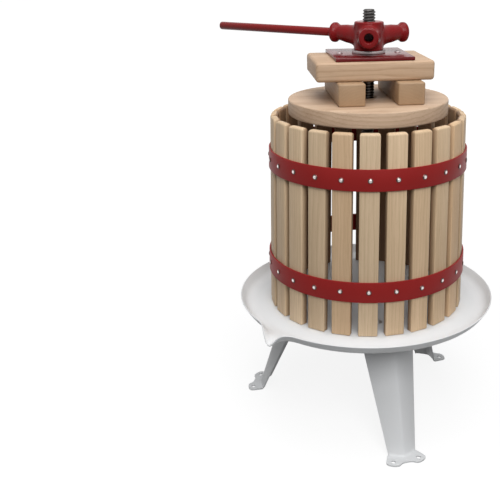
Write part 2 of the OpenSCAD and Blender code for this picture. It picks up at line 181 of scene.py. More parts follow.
# Paint and powder coat share faint mottling, a fine peel in the surface and dull, dusty patches.
coat, coat_in, coat_out = group_tree(
    "coat",
    [("Vector", "Vector", None), ("Colour", "Color", (0.8, 0.8, 0.8, 1)), ("Mottle", "Float", 0.04),
     ("Roughness", "Float", 0.4), ("Peel", "Float", 600.0)],
    [("Colour", "Color"), ("Roughness", "Float"), ("Height", "Float")],
)
coat_broad = noise_at(coat, coat_in.outputs["Vector"], (14, 14, 14), 4.0)
coat_shade = remap(coat, coat_broad, 0.3, 0.7, -0.5, 0.5)
coat_gain = math_node(coat, "MULTIPLY_ADD", coat_shade, coat_in.outputs["Mottle"], 1.0)
coat_scaled = node_in(coat, "VectorMath", _operation="SCALE", in0=coat_in.outputs["Colour"], Scale=coat_gain)
coat_rough = math_node(coat, "MULTIPLY_ADD", coat_shade, 0.10, coat_in.outputs["Roughness"])
coat_fine = node_in(coat, "TexNoise", Vector=coat_in.outputs["Vector"], Scale=coat_in.outputs["Peel"],
                    Detail=2.0)
coat.links.new(coat_scaled.outputs[0], coat_out.inputs["Colour"])
coat.links.new(coat_rough, coat_out.inputs["Roughness"])
coat.links.new(coat_fine.outputs[0], coat_out.inputs["Height"])


def shader(name, **sockets):
    """A material with a bare Principled shader; returns the material, its tree and the shader."""
    material = bpy.data.materials.new(name)
    material.use_nodes = True
    tree = material.node_tree
    bsdf = tree.nodes["Principled BSDF"]
    for key, value in sockets.items():
        bsdf.inputs[key.replace("_", " ")].default_value = value
    return material, tree, bsdf


def bump(tree, bsdf, height, distance, strength=1.0):
    n = node_in(tree, "Bump", Strength=strength, Distance=distance, Height=height)
    tree.links.new(n.outputs[0], bsdf.inputs["Normal"])


def painted(name, colour, roughness, mottle, peel, depth, **sockets):
    """Paint on metal, laid over the object's own coordinates."""
    material, tree, bsdf = shader(name, **sockets)
    place = tree.nodes.new("ShaderNodeTexCoord").outputs["Object"]
    g = tree.nodes.new("ShaderNodeGroup")
    g.node_tree = coat
    tree.links.new(place, g.inputs["Vector"])
    for key, value in (("Colour", colour), ("Mottle", mottle), ("Roughness", roughness), ("Peel", peel)):
        g.inputs[key].default_value = value
    tree.links.new(g.outputs["Colour"], bsdf.inputs["Base Color"])
    tree.links.new(g.outputs["Roughness"], bsdf.inputs["Roughness"])
    bump(tree, bsdf, g.outputs["Height"], depth)
    return material


white_coat = painted("white_powder_coat", (0.765, 0.775, 0.785, 1), roughness=0.42, mottle=0.02, peel=900,
                     depth=0.00005, Specular_IOR_Level=0.3)


def spout_pull(angle):
    """How far the spout is drawn at an angle from its middle, from 0 to 1."""
    return math.cos(math.pi / 2 * angle / spout_half) ** 2 if abs(angle) < spout_half else 0.0


def draw_spout(obj):
    """Draws the wall of a round dish out and down into the spout."""
    for v in obj.data.vertices:
        r = math.hypot(v.co.x, v.co.y)
        angle = math.atan2(v.co.x, -v.co.y)
        pull = spout_pull(angle)
        if r <= wall_foot_r or not pull:
            continue
        out = (r - wall_foot_r) / (lip_r - wall_foot_r)
        reach = r + (spout_reach + sheet) * pull * out
        v.co.x = reach * math.sin(angle)
        v.co.y = -reach * math.cos(angle)
        v.co.z -= spout_dip * pull ** spout_sharp * (v.co.z - trough_z) / (rim_z - trough_z)


dish = [(r, floor_z) for r in (tray_hole_r, 60 * MM, 120 * MM, seat_r)]
slope_steps, bend_steps, flank_steps, round_steps = 10, 6, 8, 540
for i in range(1, slope_steps + 1):
    dish.append((seat_r + (trough_r - seat_r) * i / slope_steps,
                 floor_z - (floor_z - trough_z) * (1 - math.cos(math.pi * i / slope_steps)) / 2))
for i in range(bend_steps + 1):
    t = wall_slope * i / bend_steps
    dish.append((wall_foot_r + wall_bend * math.sin(t), trough_z + wall_bend * (1 - math.cos(t))))
bend_end = dish[-1]
for i in range(1, flank_steps + 1):
    dish.append(tuple(a + (b - a) * i / flank_steps for a, b in zip(bend_end, (lip_r, rim_z))))
tray = sweep_rings(dish, round_steps)
bpy.ops.mesh.normals_make_consistent(inside=False)
bpy.ops.object.mode_set(mode="OBJECT")
draw_spout(tray)
if tray.data.polygons[0].normal.z < 0:
    tray.data.flip_normals()
modify(tray, "SOLIDIFY", thickness=sheet, offset=-1, use_even_offset=True)
soften(tray, rim_ease, 3, 50)
settle(tray, "tray_dish", "base", white_coat, ["tray"], 40)


# Legs
# Each leg is a steel channel pressed to a soft ridge, wide under the tray and narrow at the ground.
# Its top is folded in to a flange for two carriage bolts, its foot out to a flange with two ears.
leg_angles = {"leg_front_right": 60, "leg_rear": 180, "leg_front_left": -60}
leg_sheet = 2.5 * MM
leg_top_z = floor_z - sheet
edge_foot, edge_top = 172.4 * MM, 88.2 * MM
depth_foot, depth_top = 10.5 * MM, 35.5 * MM
half_foot, half_top = 21.6 * MM, 44.6 * MM
ridge_power = 1.4
leg_bend = 4 * MM
head_back, head_narrow = 4 * MM, 0.97
foot_bend_from, foot_bend_to = 0.16, 0.28
head_bend_from, head_bend_to = 0.76, 0.88
hole_x, hole_y, hole_r = 20 * MM, 190 * MM, 3.5 * MM
foot_outline = [(0, 194.8), (6, 195), (9.5, 196.4), (12.6, 199), (16, 200), (21, 199), (26, 196.4),
                (29.8, 193), (30.8, 190), (29.4, 185.5), (26, 178.5), (23, 172.6)]
leg_columns, leg_rows = 48, 46
leg_ease = 0.5 * MM


def combine(obj, other, operation="DIFFERENCE"):
    """Cuts, adds or crosses one closed mesh with another, which is used up."""
    modify(obj, "BOOLEAN", operation=operation, object=other, solver="EXACT")
    bpy.data.objects.remove(other)
    return obj


def rod(r, length, start=(0, 0, 0), vertices=48, r_end=None):
    """A plain cylinder or cone that stands on its start."""
    bpy.ops.mesh.primitive_cone_add(vertices=vertices, radius1=r, radius2=r if r_end is None else r_end,
                                    depth=length, location=Vector(start) + Vector((0, 0, length / 2)))
    return apply_place(made())


def close_up(obj, gap=0.003 * MM):
    """Merges the points that a cut or a bevel leaves on top of each other."""
    pick(obj)
    bpy.ops.object.mode_set(mode="EDIT")
    bpy.ops.mesh.select_all(action="SELECT")
    bpy.ops.mesh.remove_doubles(threshold=gap)
    bpy.ops.mesh.dissolve_degenerate(threshold=gap)
    bpy.ops.object.mode_set(mode="OBJECT")
    return obj


def spin_z(degrees):
    return Matrix.Rotation(math.radians(degrees), 4, "Z")


def twin(obj):
    """A copy of a piece with a mesh of its own."""
    copy = obj.copy()
    copy.data = obj.data.copy()
    bpy.context.collection.objects.link(copy)
    return copy


def along(points, t):
    """The point at a share t of the way along a chain of points."""
    spans = [math.dist(a, b) for a, b in zip(points, points[1:])]
    left = t * sum(spans)
    for a, b, s in zip(points, points[1:], spans):
        if left <= s:
            return [p + (q - p) * left / s for p, q in zip(a, b)]
        left -= s
    return list(points[-1])


def ridge_line(u, half, edge, depth):
    """Across the pressed face, from one free edge at -1 to the other at 1."""
    return half * u, -(edge + depth * (1 - abs(u) ** ridge_power))


def leg_surface(u, s):
    """The outside of the sheet: u across it, s from the foot's rim at 0 to the head's rim at 1."""
    x, y = along(foot_outline, abs(u))
    rim = Vector((math.copysign(x * MM, u), -y * MM, leg_sheet))
    low = Vector((*ridge_line(u, half_foot, edge_foot, depth_foot), leg_sheet))
    high = Vector((*ridge_line(u, half_top, edge_top, depth_top), leg_top_z))
    back = Vector((half_top * u * head_narrow, -(edge_top - head_back), leg_top_z))
    a = low + (rim - low) * min(0.6, leg_bend / (rim - low).length)
    b = low + (high - low).normalized() * leg_bend
    c = high + (low - high).normalized() * leg_bend
    d = high + (back - high).normalized() * leg_bend * min(1, 2 - 2 * abs(u))
    if s < foot_bend_from:
        return rim.lerp(a, s / foot_bend_from)
    if s < foot_bend_to:
        t = (s - foot_bend_from) / (foot_bend_to - foot_bend_from)
        return a.lerp(low, t).lerp(low.lerp(b, t), t)
    if s < head_bend_from:
        return b.lerp(c, (s - foot_bend_to) / (head_bend_from - foot_bend_to))
    if s < head_bend_to:
        t = (s - head_bend_from) / (head_bend_to - head_bend_from)
        return c.lerp(high, t).lerp(high.lerp(d, t), t)
    return d.lerp(back, (s - head_bend_to) / (1 - head_bend_to))


clear()
bpy.ops.mesh.primitive_grid_add(x_subdivisions=leg_columns, y_subdivisions=leg_rows, size=2)
leg = made()
for v in leg.data.vertices:
    v.co = leg_surface(v.co.x, (v.co.y + 1) / 2)
if leg.data.polygons[0].normal.z < 0:
    leg.data.flip_normals()
modify(leg, "SOLIDIFY", thickness=leg_sheet, offset=-1, use_even_offset=False)
for side in (-1, 1):
    combine(leg, rod(hole_r, 10 * MM, (side * hole_x, -hole_y, -4 * MM)))
close_up(soften(close_up(leg), leg_ease, 2, 55))
for name, angle in leg_angles.items():
    one_leg = apply_place(twin(leg), spin_z(angle))
    settle(one_leg, name + "_pressing", "base", white_coat, [name], 40)
bpy.data.objects.remove(leg)


# Fasteners of the base
# Zinc-plated carriage bolts with low domed heads hold the legs. A washer and a nut above the tray, and
# a plate and a locknut below it, clamp the foot of the screw.
def plated(name, colour, roughness, scratch):
    """Plated or bare steel with faint marks that vary its gloss."""
    material, tree, bsdf = shader(name, Metallic=1.0)
    place = tree.nodes.new("ShaderNodeTexCoord").outputs["Object"]
    broad = noise_at(tree, place, (60, 60, 60), 4.0)
    fine = noise_at(tree, place, (400, 400, 1500), 2.0)
    shade = remap(tree, broad, 0.3, 0.7, 0.88, 1.06)
    tint = node_in(tree, "VectorMath", _operation="SCALE", in0=colour[:3], Scale=shade)
    tree.links.new(tint.outputs[0], bsdf.inputs["Base Color"])
    tree.links.new(remap(tree, broad, 0.3, 0.7, roughness - 0.06, roughness + 0.1), bsdf.inputs["Roughness"])
    bump(tree, bsdf, fine, scratch)
    return material


zinc = plated("zinc_plate", (0.72, 0.72, 0.71), roughness=0.32, scratch=0.00002)
over = 2 * MM


def join(*objs):
    clear()
    for o in objs:
        o.select_set(True)
    bpy.context.view_layer.objects.active = objs[0]
    bpy.ops.object.join()
    return objs[0]


def shift(x, y, z):
    return Matrix.Translation((x, y, z))


def dome(r, h, rings=8):
    """Outline points of a low dome, from its rim up to the axis."""
    big = (r * r + h * h) / (2 * h)
    top = math.asin(min(1.0, r / big))
    return [(big * math.sin(top * (1 - i / rings)), h - big + big * math.cos(top * (1 - i / rings)))
            for i in range(rings)]


def lathe(points, vertices=96):
    """A closed turned piece from its half outline of (radius, height) points, from axis to axis."""
    obj = sweep_rings(points[1:-1], vertices)
    bpy.ops.mesh.fill_holes(sides=0)
    bpy.ops.mesh.normals_make_consistent(inside=False)
    bpy.ops.object.mode_set(mode="OBJECT")
    return obj


def bore_out(obj, r, h, z=0, vertices=48):
    """Drills a piece through along Z; the drill stands out past each end of z to z + h."""
    return combine(obj, rod(r, h + 2 * over, (0, 0, z - over), vertices))


def hexagon(af, h, z, bore):
    """A hex nut with the turned chamfer on its corners, bored through."""
    hex_nut = rod(af / math.sqrt(3), h, (0, 0, z), 6)
    face = af / 2 * 0.97
    wide, drop = face + 0.12 * af, 0.118 * af
    combine(hex_nut, lathe([(0, z - MM), (face, z - MM), (face, z), (wide, z + drop), (wide, z + h - drop),
                            (face, z + h), (face, z + h + MM), (0, z + h + MM)], 48), "INTERSECT")
    bore_out(hex_nut, bore, h, z)
    return close_up(soften(close_up(hex_nut), 0.25 * MM, 2, 50))


def washer(r, h, z, bore, ease=0.4 * MM):
    """A flat ring with eased edges."""
    return soften(bore_out(rod(r, h, (0, 0, z), 72), bore, h, z, 72), ease, 3, 50)


leg_bolt_at, leg_bolt_side = 100 * MM, 18 * MM
under_leg_z = leg_top_z - leg_sheet
bolt_r, bolt_out, bolt_point = 4 * MM, 10 * MM, 0.8 * MM
bolt_nut_r, bolt_nut_h = 1.85 * bolt_r, 1.7 * bolt_r
head_r, head_h = 9.2 * MM, 4 * MM
bolt_end = under_leg_z - bolt_out
head = [(r, floor_z + h) for r, h in dome(head_r, head_h)]
bolt = lathe([(0, bolt_end), (bolt_r - 0.6 * MM, bolt_end), (bolt_r, bolt_end + bolt_point),
              (bolt_r, floor_z), (head_r - 0.2 * MM, floor_z), *head, (0, floor_z + head_h)], 32)
bolt_nut = hexagon(2 * bolt_nut_r * math.cos(math.pi / 6), bolt_nut_h, under_leg_z - bolt_nut_h,
                   bolt_r + 0.1 * MM)


def round_legs(piece):
    """One copy of a piece at each leg bolt, joined."""
    copies = []
    for angle in leg_angles.values():
        for side in (-1, 1):
            place = spin_z(angle) @ shift(side * leg_bolt_side, -leg_bolt_at, 0)
            copies.append(apply_place(twin(piece), place))
    bpy.data.objects.remove(piece)
    return join(*copies)


settle(round_legs(bolt), "carriage_bolts", "base", zinc, ["leg_bolts"])
settle(round_legs(bolt_nut), "carriage_nuts", "base", zinc, ["leg_nuts"])
base_bore, base_af = screw_r + 0.1 * MM, 30 * MM
above_r, above_t, above_h = 22 * MM, 3 * MM, 15 * MM
below_r, below_t, below_h = 32 * MM, 4 * MM, 12 * MM
below_z = leg_top_z - below_t
settle(washer(above_r, above_t, floor_z, base_bore), "upper_washer", "base", zinc, ["base_washer"])
settle(hexagon(base_af, above_h, floor_z + above_t, base_bore), "upper_nut", "base", zinc,
       ["base_nut"])
settle(washer(below_r, below_t, below_z, base_bore), "under_plate", "base", zinc, ["base_plate"])
settle(hexagon(base_af, below_h, below_z - below_h, base_bore), "under_nut", "base", zinc,
       ["base_locknut"])


# Screw
# The screw is a rolled trapezoidal thread, 18 mm over its crests and 4 mm from turn to turn, dark
# with oil. It doesn't turn: the nut at the top runs down it.
screw_lo, screw_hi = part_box("screw_spindle")
pitch = 4 * MM
thread_depth = 1.7 * MM
thread_turns = math.ceil((screw_hi[2] - screw_lo[2]) / pitch) + 2
root = screw_r - thread_depth
crest = screw_r - 0.35 * MM
thread = [(root, 0), (crest, 0.5 * MM), (screw_r, 0.85 * MM), (screw_r, 2.05 * MM), (crest, 2.4 * MM),
          (root, 2.9 * MM), (root, pitch)]
end_r, end_slope = 0.72 * screw_r, 1.2

# A ring of points is opened into a chain, laid along one turn's outline and wound up the screw.
clear()
bpy.ops.mesh.primitive_circle_add(vertices=len(thread) + 1, radius=screw_r)
screw = made()
bpy.ops.object.mode_set(mode="EDIT")
bpy.ops.mesh.select_all(action="DESELECT")
bpy.ops.object.mode_set(mode="OBJECT")
screw.data.vertices[len(thread)].select = True
bpy.ops.object.mode_set(mode="EDIT")
bpy.ops.mesh.delete(type="VERT")
bpy.ops.object.mode_set(mode="OBJECT")
for v, (r, z) in zip(screw.data.vertices, thread):
    v.co = (r, 0, screw_lo[2] - pitch + z)
modify(screw, "SCREW", screw_offset=pitch, iterations=thread_turns, steps=30, render_steps=30, axis="Z",
       use_merge_vertices=True, merge_threshold=0.01 * MM)
bpy.ops.object.mode_set(mode="EDIT")
bpy.ops.mesh.select_all(action="SELECT")
bpy.ops.mesh.remove_doubles(threshold=0.02 * MM)
for height, up in ((screw_lo[2], -1), (screw_hi[2], 1)):
    bpy.ops.mesh.select_all(action="SELECT")
    bpy.ops.mesh.bisect(plane_co=(0, 0, height), plane_no=(0, 0, up), use_fill=True, clear_outer=True)
bpy.ops.mesh.select_all(action="SELECT")
bpy.ops.mesh.normals_make_consistent(inside=False)
bpy.ops.object.mode_set(mode="OBJECT")
# Both ends are pointed, so that a nut starts on them easily.
for v in screw.data.vertices:
    most = end_r + end_slope * min(v.co.z - screw_lo[2], screw_hi[2] - v.co.z)
    r = math.hypot(v.co.x, v.co.y)
    if r > most:
        v.co.x, v.co.y = v.co.x * most / r, v.co.y * most / r


def mix_colour(tree, factor, a, b):
    n = node_in(tree, "Mix", _data_type="RGBA")
    for socket, value in ((n.inputs[0], factor), (n.inputs[6], a), (n.inputs[7], b)):
        if isinstance(value, bpy.types.NodeSocket):
            tree.links.new(value, socket)
        else:
            socket.default_value = value
    return n.outputs[2]


def oiled_steel():
    """Dark rolled steel: bright on the crests and nearly black towards the root of the thread."""
    material, tree, bsdf = shader("dark_thread", Metallic=1.0)
    place = tree.nodes.new("ShaderNodeTexCoord").outputs["Object"]
    flat = node_in(tree, "VectorMath", _operation="MULTIPLY", in0=place, in1=(1, 1, 0)).outputs[0]
    r = node_in(tree, "VectorMath", _operation="LENGTH", in0=flat).outputs["Value"]
    height = remap(tree, r, root, screw_r)
    film = noise_at(tree, place, (120, 120, 60), 4.0)
    shine = math_node(tree, "MULTIPLY", height, remap(tree, film, 0.3, 0.7, 0.7, 1.1))
    # The colour goes from light on the crests to nearly black at the root of the thread.
    tint = mix_colour(tree, shine, (0.045, 0.042, 0.040, 1), (0.145, 0.14, 0.138, 1))
    tree.links.new(tint, bsdf.inputs["Base Color"])
    tree.links.new(remap(tree, film, 0.3, 0.7, 0.28, 0.5), bsdf.inputs["Roughness"])
    bump(tree, bsdf, noise_at(tree, place, (900, 900, 900), 2.0), 0.00003)
    return material


settle(screw, "threaded_screw", "base", oiled_steel(), ["screw_spindle"], 25)


# Slats
# Twenty-four planed hardwood slats stand in a ring, a finger's width apart at most, and lean in a
# little. Their arrises are eased, the corners of their upper ends are rounded, and their inner faces
# are painted darker, as the shade inside the basket.
basket_r = 150 * MM
lean = math.radians(1.5)
slat_count = 24
slat_w, slat_t, slat_len = 27.5 * MM, 11 * MM, 291.5 * MM
slat_turn = 12.1
slat_foot_z = floor_z + 0.3 * MM + slat_t * math.sin(lean)
slat_tip, slat_ease = 3.5 * MM, 1.3 * MM
# Deeper into a slat than this, its inner face is painted darker as shade inside the basket.
shaded_depth = 0.7 * slat_t

wood, wood_in, wood_out = group_tree(
    "wood",
    [("Grain", "Vector", None), ("Light", "Color", (0.68, 0.51, 0.34, 1)),
     ("Dark", "Color", (0.42, 0.29, 0.17, 1)), ("Ring width", "Float", 0.003), ("Figure", "Float", 0.5),
     ("Sway", "Float", 0.004)],
    [("Colour", "Color"), ("Roughness", "Float"), ("Height", "Float")],
)
wood_place = wood_in.outputs["Grain"]
wood_slow = node_in(wood, "Mapping", Vector=wood_place, Scale=(5, 16, 16)).outputs[0]
wood_bend = node_in(wood, "TexNoise", Vector=wood_slow, Scale=1.0, Detail=2.0).outputs["Color"]
wood_sway = node_in(wood, "VectorMath", _operation="MULTIPLY_ADD", in0=wood_bend, in1=(0, 2, 2),
                    in2=(0, -1, -1)).outputs[0]
wood_shift = node_in(wood, "VectorMath", _operation="SCALE", in0=wood_sway,
                     Scale=wood_in.outputs["Sway"]).outputs[0]
wood_bent = node_in(wood, "VectorMath", _operation="ADD", in0=wood_place, in1=wood_shift).outputs[0]
wood_across = node_in(wood, "VectorMath", _operation="MULTIPLY", in0=wood_bent, in1=(0, 1, 1)).outputs[0]
wood_radius = node_in(wood, "VectorMath", _operation="LENGTH", in0=wood_across).outputs["Value"]
wood_age = math_node(wood, "DIVIDE", wood_radius, wood_in.outputs["Ring width"])
wood_jitter = noise_at(wood, wood_place, (9, 260, 260), 2.0)
wood_ring = math_node(wood, "FRACT", math_node(wood, "MULTIPLY_ADD", wood_jitter, 0.8, wood_age))
wood_late = remap(wood, wood_ring, 0.35, 0.92)
wood_drop = remap(wood, wood_ring, 0.92, 1.0, 1.0, 0.0)
wood_line = math_node(wood, "MULTIPLY", math_node(wood, "POWER", wood_late, 2.0), wood_drop)
wood_fibre = remap(wood, noise_at(wood, wood_bent, (14, 900, 900), 3.0, 0.6), 0.35, 0.7)
wood_pore = remap(wood, noise_at(wood, wood_bent, (70, 2200, 2200), 1.0), 0.60, 0.72)
wood_tone = remap(wood, noise_at(wood, wood_bent, (3, 40, 40), 3.0), 0.3, 0.7)
wood_mark = math_node(wood, "MULTIPLY", wood_line, wood_in.outputs["Figure"])
wood_mark = math_node(wood, "MULTIPLY_ADD", wood_fibre, 0.26, wood_mark)
wood_mark = math_node(wood, "MULTIPLY_ADD", wood_tone, 0.36, wood_mark)
wood_mark = node_in(wood, "Math", _operation="MULTIPLY_ADD", _use_clamp=True, in0=wood_pore, in1=0.22,
                    in2=wood_mark)
wood_tint = mix_colour(wood, wood_mark.outputs[0], wood_in.outputs["Light"], wood_in.outputs["Dark"])
wood_rise = math_node(wood, "MULTIPLY_ADD", wood_pore, -0.7, wood_fibre)
wood.links.new(wood_tint, wood_out.inputs["Colour"])
wood.links.new(remap(wood, wood_mark.outputs[0], 0.0, 1.0, 0.52, 0.66), wood_out.inputs["Roughness"])
wood.links.new(wood_rise, wood_out.inputs["Height"])


def timber_finish(name, light, dark, ring, figure, sway):
    """Planed, unvarnished wood whose figure follows each piece's own grain."""
    material, tree, bsdf = shader(name)
    grain = node_in(tree, "Attribute", _attribute_name="grain").outputs["Vector"]
    tone = node_in(tree, "Attribute", _attribute_name="tone").outputs["Vector"]
    g = tree.nodes.new("ShaderNodeGroup")
    g.node_tree = wood
    tree.links.new(grain, g.inputs["Grain"])
    for key, value in (("Light", light), ("Dark", dark), ("Ring width", ring), ("Figure", figure),
                       ("Sway", sway)):
        g.inputs[key].default_value = value
    toned = node_in(tree, "VectorMath", _operation="MULTIPLY", in0=g.outputs["Colour"], in1=tone)
    tree.links.new(toned.outputs[0], bsdf.inputs["Base Color"])
    tree.links.new(g.outputs["Roughness"], bsdf.inputs["Roughness"])
    bump(tree, bsdf, g.outputs["Height"], 0.00010, 0.6)
    return material


# A tint multiplier that paints shade on the slats' inner faces.
inner_shade = (0.40, 0.32, 0.27)


def lay_grain(obj, axes, pith, tone, warmth, start, shaded_from=1.0):
    """Stores each point's place in the tree: along the grain, then across and through from the pith.
    Also stores its tint, which is painted darker as shade where y is past the given depth."""
    obj.data.attributes.new("grain", "FLOAT_VECTOR", "POINT")
    obj.data.attributes.new("tone", "FLOAT_VECTOR", "POINT")
    grain, shade = obj.data.attributes["grain"], obj.data.attributes["tone"]
    for v, g, t in zip(obj.data.vertices, grain.data, shade.data):
        place = [v.co["xyz".index(a)] for a in axes]
        g.vector = (place[0] + start, place[1] + pith[0], place[2] + pith[1])
        tint = Vector((tone, tone * warmth, tone * warmth ** 2))
        # Points past that depth, on a slat's inner face, get the painted shade.
        t.vector = [a * b for a, b in zip(tint, inner_shade)] if v.co.y > shaded_from else tint


def board(w, d, h, ease, segments=4):
    """A timber standing on z = 0 with every arris rounded over."""
    bpy.ops.mesh.primitive_cube_add(size=1, location=(0, 0, h / 2))
    obj = made()
    obj.scale = (w, d, h)
    bpy.ops.object.transform_apply(location=True, scale=True)
    return soften(obj, ease, segments, 40)


def slat_stand(i):
    """The place of a slat in the ring, leaning in from its foot."""
    turn = spin_z(slat_turn + i * 360 / slat_count)
    return turn @ shift(0, -basket_r, slat_foot_z) @ Matrix.Rotation(-lean, 4, "X")


slat_wood = timber_finish("slat_timber", (0.75, 0.57, 0.38, 1), (0.44, 0.30, 0.17, 1), ring=0.0026,
                          figure=0.22, sway=0.004)
draw = random.Random(7)
clear()
bpy.ops.mesh.primitive_cube_add(size=1, location=(0, slat_t / 2, slat_len / 2))
slat = made()
slat.scale = (slat_w, slat_t, slat_len)
bpy.ops.object.transform_apply(location=True, scale=True)
bpy.ops.object.mode_set(mode="EDIT")
bpy.ops.mesh.select_all(action="DESELECT")
bpy.ops.object.mode_set(mode="OBJECT")
for e in slat.data.edges:
    a, b = (slat.data.vertices[i].co for i in e.vertices)
    e.select = min(a.z, b.z) > slat_len / 2 and abs(a.y - b.y) > slat_t / 2
bpy.ops.object.mode_set(mode="EDIT")
bpy.ops.mesh.select_mode(type="EDGE")
bpy.ops.mesh.bevel(offset=slat_tip, segments=4)
bpy.ops.object.mode_set(mode="OBJECT")
soften(slat, slat_ease, 3, 40)
for i in range(slat_count):
    copy = twin(slat)
    lay_grain(copy, "zxy", pith=(draw.uniform(-0.05, 0.05), draw.choice((-1, 1)) * draw.uniform(0.02, 0.09)),
              tone=draw.uniform(0.84, 1.06), warmth=draw.uniform(0.92, 1.01), start=draw.uniform(0, 9),
              shaded_from=shaded_depth)
    twist = Matrix.Rotation(math.radians(draw.uniform(-0.5, 0.5)), 4, "Z")
    tilt = Matrix.Rotation(math.radians(draw.uniform(-0.12, 0.12)), 4, "Y")
    apply_place(copy, slat_stand(i) @ twist @ tilt)
    settle(copy, f"stave_{i + 1:02d}", "basket", slat_wood, [f"slat_{i + 1:02d}"])
bpy.data.objects.remove(slat)


# Hoops and nails
# Two red steel bands hold the slats, each with one domed nail into every slat.
hoop_w, hoop_t, hoop_ease = 30 * MM, 2.5 * MM, 0.5 * MM
hoops = {"lower": 68.5 * MM, "upper": 229.5 * MM}
nail_head = (3.8 * MM, 1.9 * MM)
shank_r, shank_len = 1.3 * MM, 6 * MM
nail_stray = 0.7
red_steel = painted("red_paint", (0.285, 0.019, 0.018, 1), roughness=0.42, mottle=0.10, peel=500,
                    depth=0.00006, Specular_IOR_Level=0.12)


def nail_with_rim_shadow():
    """Bright steel on the top of the head, with painted shadow round its rim."""
    material, tree, bsdf = shader("nail_steel", Metallic=1.0, Roughness=0.34)
    crown = node_in(tree, "Attribute", _attribute_name="crown").outputs["Fac"]
    # Low on the head the colour is painted dark, as the shadow round its rim.
    tint = mix_colour(tree, remap(tree, crown, 0.62, 0.92), (0.10, 0.055, 0.05, 1), (0.90, 0.84, 0.82, 1))
    tree.links.new(tint, bsdf.inputs["Base Color"])
    return material


nail_steel = nail_with_rim_shadow()


def slat_corner_r(up):
    """Radius over the corners of the slats at a height along them."""
    return math.hypot(slat_w / 2 - 1.2 * MM, basket_r - up * math.sin(lean))


def band(points, vertices):
    """A closed ring turned from the closed outline of (radius, height) points."""
    obj = sweep_rings(points + points[:1], vertices)
    bpy.ops.mesh.remove_doubles(threshold=0.01 * MM)
    bpy.ops.mesh.normals_make_consistent(inside=False)
    bpy.ops.object.mode_set(mode="OBJECT")
    return obj


for name, up in hoops.items():
    mid_z = slat_foot_z + up * math.cos(lean)
    low_r, high_r = (slat_corner_r(up + s * hoop_w / 2) + 0.1 * MM for s in (-1, 1))
    half = hoop_w / 2 * math.cos(lean)
    hoop = band([(low_r, mid_z - half), (low_r + hoop_t, mid_z - half), (high_r + hoop_t, mid_z + half),
                 (high_r, mid_z + half)], 240)
    soften(hoop, hoop_ease, 3, 50)
    settle(hoop, name + "_band", "basket", red_steel, [name + "_hoop"])
    face = slat_corner_r(up) - (basket_r - up * math.sin(lean)) + 0.1 * MM + hoop_t
    r, h = nail_head
    nail_end = -hoop_t - shank_len
    nail = lathe([(0, nail_end), (shank_r, nail_end), (shank_r, 0), (r - 0.2 * MM, 0),
                  *[(x, y + 0.3 * MM) for x, y in dome(r, h - 0.3 * MM, 7)], (0, h)], 24)
    # The share of the head's height, which the nail's material uses to paint shadow round the rim.
    crown = nail.data.attributes.new("crown", "FLOAT", "POINT")
    for v, c in zip(nail.data.vertices, crown.data):
        c.value = max(0.0, v.co.z / h)
    apply_place(nail, Matrix.Rotation(math.pi / 2, 4, "X"))
    heads = []
    for i in range(slat_count):
        wander = shift(draw.uniform(-nail_stray, nail_stray) * MM, -face,
                       up + draw.uniform(-nail_stray, nail_stray) * MM)
        heads.append(apply_place(twin(nail), slat_stand(i) @ wander))
    bpy.data.objects.remove(nail)
    settle(join(*heads), name + "_band_nails", "basket", nail_steel, [name + "_hoop_nails"])


# Pressing boards
# A round board that fits the basket, two sleepers across it and a thick block on top, all planed
# hardwood with rounded arrises. They are laid loose on each other and turned to one angle.
stack_turn = 51
disc_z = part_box("press_disc")[0][2]
sleeper_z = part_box("sleeper_left")[0][2]
block_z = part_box("top_block")[0][2]
disc_r, disc_t, disc_hole = 116.5 * MM, 22.5 * MM, 13 * MM
sleeper_w, sleeper_len, sleeper_h = 37.5 * MM, 148 * MM, 31 * MM
sleeper_gap, sleeper_aside = 45.5 * MM, 6 * MM
block_w, block_d, block_t = 166 * MM, 116 * MM, 27 * MM
arris, block_arris = 2.5 * MM, 5 * MM
stack_bore = screw_r + 2 * MM
board_wood = timber_finish("board_timber", (0.66, 0.47, 0.32, 1), (0.41, 0.26, 0.15, 1), ring=0.0042,
                           figure=0.45, sway=0.006)
disc_wood = timber_finish("disc_timber", (0.65, 0.475, 0.335, 1), (0.41, 0.265, 0.165, 1), ring=0.006,
                          figure=0.42, sway=0.009)
bearer_wood = timber_finish("bearer_timber", (0.47, 0.31, 0.18, 1), (0.33, 0.20, 0.11, 1), ring=0.0042,
                            figure=0.18, sway=0.006)


def rounded(r, z, r_mid, z_mid, steps=5, radius=arris):
    """Points round a corner at (r, z), from below to above, of a board whose middle is at (r_mid, z_mid)."""
    sr, sz = math.copysign(1, r - r_mid), math.copysign(1, z - z_mid)
    turn = [(r - sr * radius * (1 - math.cos(t)), z - sz * radius * (1 - math.sin(t)))
            for t in (math.pi / 2 * i / steps for i in range(steps + 1))]
    return turn if sz * sr > 0 else turn[::-1]


mid = ((disc_r + disc_hole) / 2, disc_t / 2)
disc = band([*rounded(disc_r, 0, *mid), *rounded(disc_r, disc_t, *mid),
             *rounded(disc_hole, disc_t, *mid, 3, MM), *rounded(disc_hole, 0, *mid, 3, MM)], 200)
lay_grain(disc, "xyz", pith=(0.012, 0.35), tone=0.98, warmth=1.0, start=0.4)
apply_place(disc, spin_z(stack_turn) @ shift(0, 0, disc_z))
settle(disc, "round_board", "press_stack", disc_wood, ["press_disc"])
for name, side in (("left", -1), ("right", 1)):
    sleeper = board(sleeper_w, sleeper_len, sleeper_h, arris)
    lay_grain(sleeper, "yxz", pith=(0.02 * side, 0.035), tone=0.86, warmth=1.0, start=2.0 + side)
    sleeper_x = sleeper_aside + side * (sleeper_gap + sleeper_w) / 2
    apply_place(sleeper, spin_z(stack_turn) @ shift(sleeper_x, 0, sleeper_z))
    settle(sleeper, name + "_bearer", "press_stack", bearer_wood, ["sleeper_" + name])
